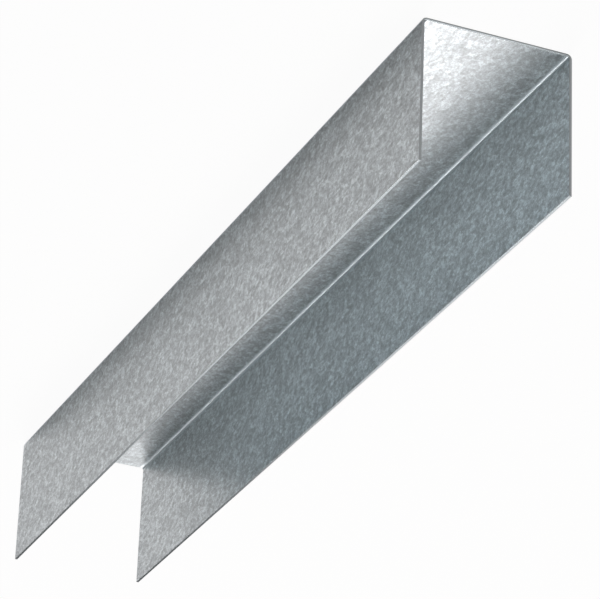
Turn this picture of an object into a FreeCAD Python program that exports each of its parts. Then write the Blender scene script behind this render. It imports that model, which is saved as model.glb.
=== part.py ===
import FreeCAD, Part
import math
import os

# Drywall ceiling track: a length of plain U-section, roll-formed from one strip of galvanised steel.
# It lies on the back of its web with the open side up. The origin is the centre of the web's back face,
# +X runs along the track, +Y across it, and +Z from the web towards the tips of the flanges.

# Driving dimensions, in millimetres
LENGTH = 200.0              # the piece, cut square at both ends
WEB_WIDTH = 28.0            # over the outsides of the two flanges
FLANGE_HEIGHT = 27.0        # from the back of the web to the flange tips
SHEET_THICKNESS = 0.5       # the strip that the section is rolled from
INSIDE_BEND_RADIUS = 0.5    # the nose of the forming roll, in both corners

# The sheet keeps its thickness through a bend, so both of its faces turn about one centre
OUTSIDE_BEND_RADIUS = INSIDE_BEND_RADIUS + SHEET_THICKNESS
FLANGE_FACE_Y = WEB_WIDTH / 2
BEND_CENTRE_Y = FLANGE_FACE_Y - OUTSIDE_BEND_RADIUS
BEND_CENTRE_Z = OUTSIDE_BEND_RADIUS
WEB_BACK_Z = 0.0


def section_point(y, z):
    """A point of the cross-section, in the plane of the cut at the -X end."""
    return FreeCAD.Vector(-LENGTH / 2, y, z)


def flange(side):
    """The straight of a flange's outside face; side is -1 for the left flange and +1 for the right."""
    tip = section_point(side * FLANGE_FACE_Y, FLANGE_HEIGHT)
    foot = section_point(side * FLANGE_FACE_Y, BEND_CENTRE_Z)
    return Part.LineSegment(tip, foot).toShape()


def bend(side):
    """The quarter circle that turns the outside face from a flange's foot to the back of the web."""
    reach = OUTSIDE_BEND_RADIUS * math.sqrt(0.5)
    foot = section_point(side * FLANGE_FACE_Y, BEND_CENTRE_Z)
    middle = section_point(side * (BEND_CENTRE_Y + reach), BEND_CENTRE_Z - reach)
    web_edge = section_point(side * BEND_CENTRE_Y, WEB_BACK_Z)
    return Part.Arc(foot, middle, web_edge).toShape()


def web():
    """The straight of the web's back face, between the two bends."""
    left_edge = section_point(-BEND_CENTRE_Y, WEB_BACK_Z)
    right_edge = section_point(BEND_CENTRE_Y, WEB_BACK_Z)
    return Part.LineSegment(left_edge, right_edge).toShape()


def ceiling_track():
    """The outside face's line, thickened inwards by the sheet and carried along the track's length."""
    outside_line = Part.Wire([flange(-1), bend(-1), web(), bend(1), flange(1)])
    section = outside_line.makeOffset2D(-SHEET_THICKNESS, fill=True, openResult=True)
    return section.extrude(FreeCAD.Vector(LENGTH, 0, 0))


os.makedirs("parts", exist_ok=True)
track = ceiling_track()
track.exportStep("parts/ceiling_track.step")
print(f"ceiling_track: valid {track.isValid()}, {track.Volume:.1f} mm3, {track.BoundBox}")
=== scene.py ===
# %% [markdown]
# A drywall ceiling track is the plainest of roll-formed sections: one strip of galvanised steel with two
# bends in it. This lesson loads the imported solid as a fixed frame, rolls a finely finished track in the
# same place, gives it a zinc surface, and photographs it on a white table.

import bpy
import numpy as np
from mathutils import Matrix, Vector


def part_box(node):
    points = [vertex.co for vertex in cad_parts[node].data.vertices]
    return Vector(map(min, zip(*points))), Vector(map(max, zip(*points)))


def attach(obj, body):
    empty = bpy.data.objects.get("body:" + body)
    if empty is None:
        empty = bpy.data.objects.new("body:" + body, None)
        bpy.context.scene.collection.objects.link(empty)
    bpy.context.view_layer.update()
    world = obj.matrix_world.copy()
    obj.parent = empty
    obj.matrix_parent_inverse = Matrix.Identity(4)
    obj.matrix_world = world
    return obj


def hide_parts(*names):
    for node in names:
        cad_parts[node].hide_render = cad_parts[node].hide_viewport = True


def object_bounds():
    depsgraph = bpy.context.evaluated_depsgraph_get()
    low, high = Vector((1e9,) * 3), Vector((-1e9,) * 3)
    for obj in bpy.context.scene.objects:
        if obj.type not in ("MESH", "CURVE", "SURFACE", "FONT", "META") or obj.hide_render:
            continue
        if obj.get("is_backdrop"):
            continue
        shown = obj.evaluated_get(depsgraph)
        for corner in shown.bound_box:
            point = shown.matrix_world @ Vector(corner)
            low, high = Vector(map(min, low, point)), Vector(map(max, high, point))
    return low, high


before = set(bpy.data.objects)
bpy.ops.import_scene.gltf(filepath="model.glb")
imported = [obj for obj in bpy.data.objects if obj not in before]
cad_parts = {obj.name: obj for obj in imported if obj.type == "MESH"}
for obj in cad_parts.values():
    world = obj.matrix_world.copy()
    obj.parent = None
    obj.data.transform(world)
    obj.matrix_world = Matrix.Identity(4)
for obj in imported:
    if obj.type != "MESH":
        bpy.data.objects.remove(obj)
cad_box = [list(map(float, corner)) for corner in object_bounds()]
print("the solid's box in metres:", cad_box)

# %% [markdown]
# Every size of the section can be measured on the solid, so none is written down twice. The tips of the
# flanges show the sheet's two faces side by side, and the gap between them is the sheet's thickness. The
# inside face of a flange ends where its bend starts, and the height of that line over the web is the
# bend's inside radius.

# %% Measure the section
MM = 0.001

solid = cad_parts["ceiling_track"]
low, high = (np.array(corner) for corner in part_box("ceiling_track"))
length, width, height = high - low

corners = np.empty(3 * len(solid.data.vertices))
solid.data.vertices.foreach_get("co", corners)
corners = corners.reshape(-1, 3)
same_place = 0.001 * MM
at_tips = corners[:, 2] > high[2] - same_place
inside_face = np.abs(corners[at_tips, 1]).min()
on_inside_face = np.abs(np.abs(corners[:, 1]) - inside_face) < same_place
sheet = width / 2 - inside_face
inside_bend = corners[on_inside_face, 2].min() - sheet
print(f"track {length / MM:.1f} x {width / MM:.1f} x {height / MM:.1f} mm, "
      f"sheet {sheet / MM:.2f} mm, inside bend {inside_bend / MM:.2f} mm")

# %% [markdown]
# The real track starts as a flat strip, and forming rolls bend it. The mesh could be modelled as a U
# straight away, but here it is made as the real one is: first a flat strip, described by the distance
# across it, through it and along it, and then one formula that rolls every point of the strip into the
# section. That way the sheet has the same thickness everywhere, and whatever is drawn on the flat strip
# runs round the bends unbroken.

# %% Roll a flat strip into the section
bend_radius = inside_bend + sheet / 2
web_half = width / 2 - sheet - inside_bend
flange_run = height - sheet - inside_bend
bend_run = bend_radius * np.pi / 2
strip_half = web_half + bend_run + flange_run


def roll(across, through):
    """Rolls places of the flat strip into the section.

    across is the distance from the strip's middle line, and through is the height over its middle layer. Up
    to the web's half width the middle layer lies flat. Past that it turns by the distance over the bend's
    radius, to a right angle at most, and what is left over runs straight up the flange. through is measured
    along the layer's own upward direction, which turns with it. Returns the places, and the directions that
    across and through have there, each as Y and Z.
    """
    side = np.sign(across)
    distance = np.abs(across)
    bend_angle = np.clip((distance - web_half) / bend_radius, 0, np.pi / 2)
    climb = np.maximum(distance - web_half - bend_run, 0)
    middle_y = side * (np.minimum(distance, web_half) + bend_radius * np.sin(bend_angle))
    middle_z = sheet / 2 + bend_radius * (1 - np.cos(bend_angle)) + climb
    way_across = np.stack([np.cos(bend_angle), side * np.sin(bend_angle)], -1)
    way_through = np.stack([-side * np.sin(bend_angle), np.cos(bend_angle)], -1)
    place = np.stack([middle_y, middle_z], -1) + through[..., None] * way_through
    return place, way_across, way_through


print(f"the flat strip is {2 * strip_half / MM:.1f} mm wide and {sheet / MM:.2f} mm thick")

# %% [markdown]
# The strip's surface is a closed loop around its cross-section, carried along its length. First come the
# points across one face of it. A grid of even squares would do, but the flats need only a few points and
# the bends need more. One more stands beside each bend, at the edge of the pale band on the web, which is
# partly wear from the forming roll and partly a painted highlight. The last ones stop just short of the
# slit edges, which are rounded in the next step.

# %% The points across a face
flat_step = 3 * MM
bend_steps = 10
# the width of the pale band on the web beside each bend: partly wear, partly a painted highlight
wear_and_highlight_band = 0.6 * MM
edge_round = 0.06 * MM


def rows(run):
    """How many rows of points a flat run gets: its length over the step between rows, rounded up."""
    return int(np.ceil(run / flat_step))


core_half = strip_half - edge_round
half_web = np.linspace(0, web_half - wear_and_highlight_band, rows(web_half))
bend = np.linspace(web_half, web_half + bend_run, bend_steps, endpoint=False)
flange = np.linspace(web_half + bend_run, core_half, rows(flange_run))
half_face = np.concatenate([half_web, bend, flange])
full_face = np.concatenate([-half_face[:0:-1], half_face])
print(len(full_face), "points across a face of the strip")

# %% [markdown]
# Shears leave no razor edge, so the strip is a slightly smaller core with a thin round skin: each point
# of the surface is a point of the core plus the skin's radius along an outward direction. A Bevel
# modifier could round the edges too, but this way the outward directions are known exactly. The loop goes
# along the outside face, round the right edge, back along the inside face and round the left edge. Its
# second half mirrors the first, so every point under the middle layer has a partner above it.

# %% The loop around the strip
round_steps = 4

core_through = sheet / 2 - edge_round
quarter = np.linspace(0, np.pi / 2, round_steps, endpoint=False)
edge = np.full(round_steps, core_half)
downwards = np.full(len(full_face), 1.5 * np.pi)
half_across = np.concatenate([-edge, full_face, edge])
half_facing = np.concatenate([np.pi + quarter, downwards, 2 * np.pi - quarter[::-1]])
loop_across = np.concatenate([half_across, half_across[::-1]])
loop_facing = np.concatenate([half_facing, -half_facing[::-1]])
loop_level = np.repeat([-core_through, core_through], len(half_across))
print(len(loop_across), "points around the strip")

# %% [markdown]
# A ring is one copy of the loop, and the rings stand along the strip from one cut end to the other. At an
# end the outward directions lean over, from straight out of the sides to straight along the strip, which
# rounds the cut edges like the slit ones. Extruding the loop would give the same straight run, but here
# each point comes from two numbers, its ring and its step around the loop, so one formula makes them all.

# %% The rings along the strip
core_end = length / 2 - edge_round
straight = np.linspace(-core_end, core_end, rows(length) + 1)
end_rings = np.full(round_steps, core_end)
ring_along = np.concatenate([-end_rings, straight, end_rings])
ring_lean = np.concatenate([quarter - np.pi / 2, np.zeros(len(straight)), np.pi / 2 - quarter[::-1]])

lean, facing = np.meshgrid(ring_lean, loop_facing, indexing="ij")
out_across = np.cos(lean) * np.cos(facing)
out_through = np.cos(lean) * np.sin(facing)
out_along = np.sin(lean)
across = loop_across + edge_round * out_across
through = loop_level + edge_round * out_through
along = ring_along[:, None] + edge_round * out_along
rings, around = across.shape
print(rings, "rings along the strip")

# %% [markdown]
# Now the strip goes through the forming rolls. A Simple Deform modifier could bend a mesh too, but not
# with this radius in these two places only. An outward direction is rolled in the same way as a place:
# its shares across the strip and through it follow the strip's own directions at that point.

# %% Roll the points and their outward directions
place, way_across, way_through = roll(across, through)
points = np.concatenate([along[..., None], place], -1).reshape(-1, 3)
out_section = out_across[..., None] * way_across + out_through[..., None] * way_through
normals = np.concatenate([out_along[..., None], out_section], -1).reshape(-1, 3)
print("the rolled points span", points.min(0).round(4), "to", points.max(0).round(4), "m")

# %% [markdown]
# Four neighbours on the grid make a face, and the last point of a ring joins the first. Each cut end is a
# ladder: a rung goes from a point of the loop to its partner on the other face of the sheet. One large
# face could close an end, but a ladder follows the section exactly and has only four-sided faces. The
# outward directions are stored as the mesh's normals, so the flats shade perfectly flat and the edges
# round.

# %% Join the points into faces
step = np.arange(around)
beside = (step + 1) % around
ring = np.arange(rings - 1)[:, None] * around
next_ring = ring + around
sides = np.stack([ring + step, ring + beside, next_ring + beside, next_ring + step], -1).reshape(-1, 4)

rung = np.arange(around // 2 - 1)
partner = around - 1 - rung
near_cut = np.stack([rung, partner, partner - 1, rung + 1], -1)
far_cut = near_cut[:, ::-1] + (rings - 1) * around
faces = np.concatenate([sides, near_cut, far_cut])

mesh = bpy.data.meshes.new("track")
mesh.from_pydata(points.tolist(), [], faces.tolist())
mesh.polygons.foreach_set("use_smooth", np.ones(len(faces), bool))
mesh.normals_split_custom_set_from_vertices(normals.tolist())
print("track:", len(mesh.vertices), "points,", len(faces), "faces")

# %% [markdown]
# The finished track rides on the part's only body and stands in for the solid. The solid could be given
# the finish itself, but its bare edges are knife-sharp and it has no map for the zinc. The track's object
# stays at the origin, because its place is already in its mesh.

# %% Put the track in the solid's place
track = bpy.data.objects.new("track", mesh)
bpy.context.scene.collection.objects.link(track)
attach(track, "root")
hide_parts("ceiling_track")
print("the track stands in for the solid, with its object at", tuple(track.location))

# %% [markdown]
# The zinc's pattern needs a map of the flat strip. Blender could unwrap the mesh, but the flat
# coordinates are already there: one way of the map is the distance around the loop, the other the
# distance along the strip, and both are divided by the track's length, so the map isn't stretched. The
# two cut ends lie beside it as slim strips of their own.

# %% Lay the strip's map
middle_ring = rings // 2
step_across = np.diff(across[middle_ring], append=across[middle_ring, 0])
step_through = np.diff(through[middle_ring], append=through[middle_ring, 0])
girth = np.concatenate([[0], np.cumsum(np.hypot(step_across, step_through))])
side_u = girth[sides[:, :1] % around + np.array([0, 1, 1, 0])]
side_v = along.ravel()[sides] + length / 2

cut_gap = 4 * MM
cuts = np.stack([near_cut, far_cut])
cut_u = girth[-1] + cut_gap * np.array([1, 2])[:, None, None] + through.ravel()[cuts]
cut_v = across.ravel()[cuts] + length / 2

map_u = np.concatenate([side_u.ravel(), cut_u.ravel()]) / length
map_v = np.concatenate([side_v.ravel(), cut_v.ravel()]) / length
mesh.uv_layers.new(name="OFBake").data.foreach_set("uv", np.stack([map_u, map_v], -1).ravel())
print(f"the map spans {map_u.min():.3f} to {map_u.max():.3f} and {map_v.min():.3f} to {map_v.max():.3f}")

# %% [markdown]
# Some places of the track get a tone of their own. In the bends and on the web just beside them the zinc
# is paler: partly where the forming rolls stretch and rub it, and partly as a painted highlight that
# widens the shine of the inside bend. The flange tips are the edges that the strip got when it was slit,
# smooth and bright. The two ends are cut with a blade that comes down into the channel: it burnishes the
# web's inside edge as it enters, and the rest tears off dark. The pale line of the burnished edge is
# partly a painted highlight. These places could be drawn on a picture of the strip, but the mesh knows
# exactly where they are, so it tells the material with attributes, one number on each point. The mark of
# a bend is full in the bend and fades out on the web.

# %% Mark the bends and the bare edges
slit_tone = 0.48
# the pale line on the web's cut edge: partly burnished steel, partly a painted highlight
burnish_and_highlight_tone = 1.1
torn_tone = 0.1

# The bend mark paints the zinc pale, partly as wear from the rolls and partly as a painted highlight of the
# inside bend: full in the bend, fading out on the web.
before_bend = web_half - np.abs(across)
bend_wear_and_highlight = np.clip(1 - before_bend / wear_and_highlight_band, 0, 1) * (before_bend > same_place - bend_run)

bare = np.maximum(np.abs(out_across), np.abs(out_along))
at_cut = np.abs(out_along) > 0.5
inside_web = (np.abs(across) < web_half + bend_run / 2) & (through > 0)
cut_tone = np.where(inside_web, burnish_and_highlight_tone, torn_tone)
bare_tone = np.where(at_cut, cut_tone, slit_tone)

for name, amount in (("bend_wear_and_highlight", bend_wear_and_highlight), ("bare", bare), ("bare_tone", bare_tone)):
    mesh.attributes.new(name, "FLOAT", "POINT").data.foreach_set("value", amount.ravel())
print("bent points:", (bend_wear_and_highlight > 0.5).sum(), "bare points:", (bare > 0.5).sum())

# %% [markdown]
# A material is a small network of nodes, and so is the sky. This helper adds one node, sets its
# properties, and either sets each named input or links it to another node's output. A step of the network
# then reads as one line, where Blender's own calls would take one for the node and one for each of its
# inputs.


# %% A helper for nodes
def add_node(owner, kind, settings=None, **inputs):
    """Adds a shader node; an input that is given an output is linked, and any other value is set."""
    tree = owner.node_tree
    made = tree.nodes.new("ShaderNode" + kind)
    for name, value in (settings or {}).items():
        setattr(made, name, value)
    for name, value in inputs.items():
        socket = made.inputs[name.replace("_", " ")]
        if isinstance(value, bpy.types.NodeSocket):
            tree.links.new(value, socket)
        else:
            socket.default_value = value
    return made


# %% [markdown]
# Hot-dip galvanising leaves a skin of zinc crystals, the spangle. On strip for tracks it is fine and a
# little drawn out along the rolling direction. A picture of zinc could be laid on it, but a pattern that
# is worked out never repeats and never blurs. A noise on the strip's map gives the grain, from about a
# millimetre down to a tenth, and soft cells around scattered points give the crystals. Mixed, they make
# one number, the tone, from dark to pale.

# %% Zinc pattern
grain_across = 0.8 * MM
grain_along = 1.3 * MM
crystal_share = 0.15

steel = bpy.data.materials.new("galvanised_steel")
steel.use_nodes = True
steel.node_tree.nodes.clear()

strip = add_node(steel, "UVMap", {"uv_map": "OFBake"}).outputs["UV"]
drawn = add_node(steel, "Mapping", Vector=strip,
                 Scale=(length / grain_across, length / grain_along, 1)).outputs["Vector"]
noise = add_node(steel, "TexNoise", {"noise_dimensions": "2D"},
                 Vector=drawn, Scale=1.0, Detail=3.0, Roughness=1.0).outputs["Color"]
cells = add_node(steel, "TexVoronoi", {"voronoi_dimensions": "2D", "feature": "SMOOTH_F1"},
                 Vector=drawn, Scale=0.8, Smoothness=0.5).outputs["Color"]
grain = add_node(steel, "SeparateColor", Color=noise).outputs["Red"]
crystals = add_node(steel, "SeparateColor", Color=cells).outputs["Red"]
tone = add_node(steel, "Mix", Factor=crystal_share, A=grain, B=crystals).outputs["Result"]
print(f"zinc grain of {grain_across / MM:.1f} mm across the strip and {grain_along / MM:.1f} mm along it")

# %% [markdown]
# The tone picks the zinc's colour from a ramp of three greys with a trace of blue. A ramp of two would be
# simpler, but on the real strip the pale crystals stand out more than the dark ones, so the ramp is
# steeper on its pale side. Where the mesh marks a bend or a bare edge, another tone takes its place.

# %% Zinc colour
dark_zinc = (0.363, 0.395, 0.407, 1)
middle_zinc = (0.551, 0.600, 0.618, 1)
pale_zinc = (0.890, 0.970, 0.999, 1)
dark_tone, middle_tone, pale_tone = 0.31, 0.5, 0.69
# the pale tone of the bend mark: partly worn zinc, partly a painted highlight
worn_and_highlight_tone = 0.7

bend_wear_and_highlight_place = add_node(steel, "Attribute", {"attribute_name": "bend_wear_and_highlight"}).outputs["Fac"]
bare_place = add_node(steel, "Attribute", {"attribute_name": "bare"}).outputs["Fac"]
edge_tone = add_node(steel, "Attribute", {"attribute_name": "bare_tone"}).outputs["Fac"]
worn_and_highlight = add_node(steel, "Mix", Factor=bend_wear_and_highlight_place, A=tone, B=worn_and_highlight_tone).outputs["Result"]
shade = add_node(steel, "Mix", Factor=bare_place, A=worn_and_highlight, B=edge_tone).outputs["Result"]

colour = add_node(steel, "ValToRGB", Fac=shade)
dark_end, pale_end = colour.color_ramp.elements
dark_end.position = dark_tone
dark_end.color = dark_zinc
pale_end.position = pale_tone
pale_end.color = pale_zinc
colour.color_ramp.elements.new(middle_tone).color = middle_zinc
print("zinc from", dark_zinc[:3], "over", middle_zinc[:3], "to", pale_zinc[:3])

# %% [markdown]
# Zinc is a metal, so its gloss is a matter of roughness. One value would do from far away, but close by
# the pale crystals are a little smoother than the dark ones, the worn bends are a little rougher than
# both, and the slit and sheared edges are smooth. A bump of a few thousandths of a millimetre lets the
# grain catch the light. A larger relief would belong in the mesh, but this one is far too fine for that.

# %% Zinc gloss and relief
dark_roughness = 0.37
pale_roughness = 0.31
worn_roughness = 0.38
bare_roughness = 0.13
relief_depth = 0.008 * MM

gloss = add_node(steel, "MapRange", Value=tone, From_Min=0.35, From_Max=0.65,
                 To_Min=dark_roughness, To_Max=pale_roughness).outputs["Result"]
rubbed = add_node(steel, "Mix", Factor=bend_wear_and_highlight_place, A=gloss, B=worn_roughness).outputs["Result"]
finish = add_node(steel, "Mix", Factor=bare_place, A=rubbed, B=bare_roughness).outputs["Result"]
off_edges = add_node(steel, "MapRange", Value=bare_place, To_Min=1.0, To_Max=0.0).outputs["Result"]
relief = add_node(steel, "Bump", Height=tone, Strength=off_edges, Distance=relief_depth).outputs["Normal"]
metal = add_node(steel, "BsdfPrincipled", Base_Color=colour.outputs["Color"], Metallic=1.0,
                 Roughness=finish, Normal=relief).outputs["BSDF"]
add_node(steel, "OutputMaterial", Surface=metal)
mesh.materials.append(steel)
print(f"{steel.name}: {len(steel.node_tree.nodes)} nodes, roughness {pale_roughness} to {dark_roughness}")

# %% [markdown]
# The track lies on a large white table. It could be a curved backdrop, as in many studios, but the camera
# looks down, so one flat face is enough. It lies a hair's breadth lower than the track, so that the two
# never share a plane.

# %% White table
table_reach = 4.0
table_gap = 0.02 * MM

table_mesh = bpy.data.meshes.new("table")
table_mesh.from_pydata([(x * table_reach, y * table_reach, -table_gap)
                        for x, y in ((-1, -1), (1, -1), (1, 1), (-1, 1))], [], [(0, 1, 2, 3)])
table = bpy.data.objects.new("table", table_mesh)
bpy.context.scene.collection.objects.link(table)
table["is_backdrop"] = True
print(f"table: {2 * table_reach:.0f} m wide")

# %% [markdown]
# The table's paint is matt, and the lamps light it like anything else, so it keeps the track's shadow.
# More light could make it white, but that would bleach the track. Instead it also glows evenly, and how
# much of the glow shows depends on the kind of ray that looks at it. The camera sees almost only glow, so
# the background is white. Mirrored in the metal, where a full glow would wash the zinc out, it is nearly
# all lit paint.

# %% Table paint
matt_white = (0.9, 0.9, 0.9, 1)
camera_share = 0.95
mirror_share = 0.05


def mix_shaders(owner, share, first, second):
    """Adds a node that mixes two shaders: the second one by its share, and the first one by the rest."""
    mixed = add_node(owner, "MixShader", Fac=share)
    owner.node_tree.links.new(first, mixed.inputs[1])
    owner.node_tree.links.new(second, mixed.inputs[2])
    return mixed.outputs["Shader"]


white = bpy.data.materials.new("white_table")
white.use_nodes = True
white.node_tree.nodes.clear()
matt = add_node(white, "BsdfDiffuse", Color=matt_white).outputs["BSDF"]
glow = add_node(white, "Emission").outputs["Emission"]
rays = add_node(white, "LightPath").outputs
look = matt
for ray, share in (("Camera", camera_share), ("Glossy", mirror_share), ("Transmission", mirror_share)):
    look = mix_shaders(white, rays[f"Is {ray} Ray"], look, mix_shaders(white, share, matt, glow))
add_node(white, "OutputMaterial", Surface=look)
table_mesh.materials.append(white)
print(f"the table's glow: {camera_share:.0%} to the camera, {mirror_share:.0%} in reflections")

# %% [markdown]
# Past the table's edge the camera sees a plain white sky, so the background is white from every side. All
# other rays meet a dim one, which only keeps the darkest reflections from going black. A sky that is
# bright for all rays would be simpler, but every face would mirror it, and the track would lose its
# contrast.

# %% Sky
sky_colour = (0.96, 0.99, 1.0, 1)
sky_strength = 0.1

world = bpy.data.worlds.new("studio")
bpy.context.scene.world = world
world.use_nodes = True
world.node_tree.nodes.clear()
dim_sky = add_node(world, "Background", Color=sky_colour, Strength=sky_strength).outputs["Background"]
white_sky = add_node(world, "Background", Color=(1, 1, 1, 1)).outputs["Background"]
seen_by_camera = add_node(world, "LightPath").outputs["Is Camera Ray"]
sky = mix_shaders(world, seen_by_camera, dim_sky, white_sky)
add_node(world, "OutputWorld", Surface=sky)
print(f"sky: white to the camera, {sky_strength:.0%} as bright to everything else")

# %% [markdown]
# The lamps and the camera all look at the track, so one helper places them: it takes a direction around
# the track and a height over the table, both in degrees, and a distance, as a photographer would say it.
# A Track To constraint could turn them too, but a matrix that is worked out once stays as it is.


# %% A helper for lamps and the camera
def facing_track(azimuth, elevation, distance, target):
    """The place and turn of something that looks at a target, as a matrix.

    azimuth turns from +X towards +Y and elevation rises from the table, both in degrees. The three axes are
    the direction from the target, the level direction square to it, and the direction square to both. A lamp
    and a camera look against the first of them.
    """
    heading, rise = np.radians([azimuth, elevation])
    towards = Vector((np.cos(rise) * np.cos(heading), np.cos(rise) * np.sin(heading), np.sin(rise)))
    sideways = Vector((-np.sin(heading), np.cos(heading), 0))
    upwards = towards.cross(sideways)
    axes = Matrix((sideways, upwards, towards)).transposed().to_4x4()
    return Matrix.Translation(target + distance * towards) @ axes


# %% [markdown]
# A softbox is a lamp behind a flat white cloth. Blender asks for a lamp's power in watts, but in bare
# metal it is the cloth's own brightness that shows, its radiance. The helper works out the power from
# that, so a softbox can change its size and keep its look. A glowing plane would be mirrored in the same
# way, but the camera would see it from some sides, and it never sees a lamp itself.

# %% A helper for softboxes
lamp_distance = 1.5


def softbox(name, azimuth, elevation, wide, tall, radiance, tint):
    """Hangs a flat lamp, wide by tall in metres, that faces the track.

    A flat lamp of some radiance gives off a power of pi times the radiance times its area.
    """
    lamp = bpy.data.lights.new(name, "AREA")
    lamp.shape = "RECTANGLE"
    lamp.size = wide
    lamp.size_y = tall
    lamp.energy = np.pi * radiance * wide * tall
    lamp.color = tint
    box = bpy.data.objects.new(name, lamp)
    box.matrix_world = facing_track(azimuth, elevation, lamp_distance, Vector((0, 0, 0)))
    bpy.context.scene.collection.objects.link(box)
    print(f"{name}: {lamp.energy:.2f} W")


# %% [markdown]
# Bare metal shows its surroundings, so lighting it is a matter of placing what its faces mirror. The back
# softbox is the main light, high behind the far end: the web catches it past the right flange, which
# draws the bright wedge at the near end. The left softbox fills in beside it. The flange tips mirror the
# low panel, and it ends where they turn dark. The outside of the left flange mirrors the table, which the
# top softbox lights. The end softbox draws the bright line on the web's cut edge, and the wide, dim front
# softbox is there for the other sides. One even sky could light it all, but then every face would be the
# same grey.

# %% Light
warm_white = (1.0, 0.93, 0.92)
plain_white = (1.0, 0.98, 0.98)

softbox("back_softbox", 15.5, 54, wide=0.40, tall=0.90, radiance=8.6, tint=warm_white)
softbox("left_softbox", -17, 43, wide=0.31, tall=0.37, radiance=4.2, tint=plain_white)
softbox("low_panel", 21, 32.3, wide=1.10, tall=0.43, radiance=0.92, tint=plain_white)
softbox("top_softbox", 0, 90, wide=0.97, tall=0.97, radiance=1.1, tint=plain_white)
softbox("end_softbox", 142, 58, wide=0.60, tall=0.60, radiance=1.8, tint=plain_white)
softbox("front_softbox", 180, 35, wide=4.2, tall=2.1, radiance=0.15, tint=plain_white)

# %% [markdown]
# The camera looks down along the track from its near end, and it is held upside down, so the web shows at
# the top of the picture and the flanges point down. The track could be turned over instead, but it lies
# here as it would on a floor. A long lens keeps the perspective calm, as in a catalogue.

# %% Camera
camera_target = Vector((-5.5, 5.2, 7.1)) * MM
camera_distance = 0.6447
camera_azimuth = 202.442
camera_elevation = 25.938
camera_roll = 182.337

lens = bpy.data.cameras.new("camera")
lens.sensor_width = 36.0
lens.lens = 203.4
camera = bpy.data.objects.new("camera", lens)
upright = facing_track(camera_azimuth, camera_elevation, camera_distance, camera_target)
camera.matrix_world = upright @ Matrix.Rotation(np.radians(camera_roll), 4, "Z")
bpy.context.scene.collection.objects.link(camera)
bpy.context.scene.camera = camera
bpy.context.scene.view_settings.view_transform = "Standard"
print("the camera stands at", [round(value, 3) for value in camera.matrix_world.translation], "m")

# %% [markdown]
# A finish mustn't change a part's size. The picture wouldn't show a small difference, so the box of
# everything that shows is measured, and its largest difference from the solid's box is printed.

# %% Size against the solid
visual_box = np.array([list(corner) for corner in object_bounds()])
difference = np.abs(visual_box - cad_box).max()
print(f"the track's box differs from the solid's by {difference / MM:.4f} mm at most")
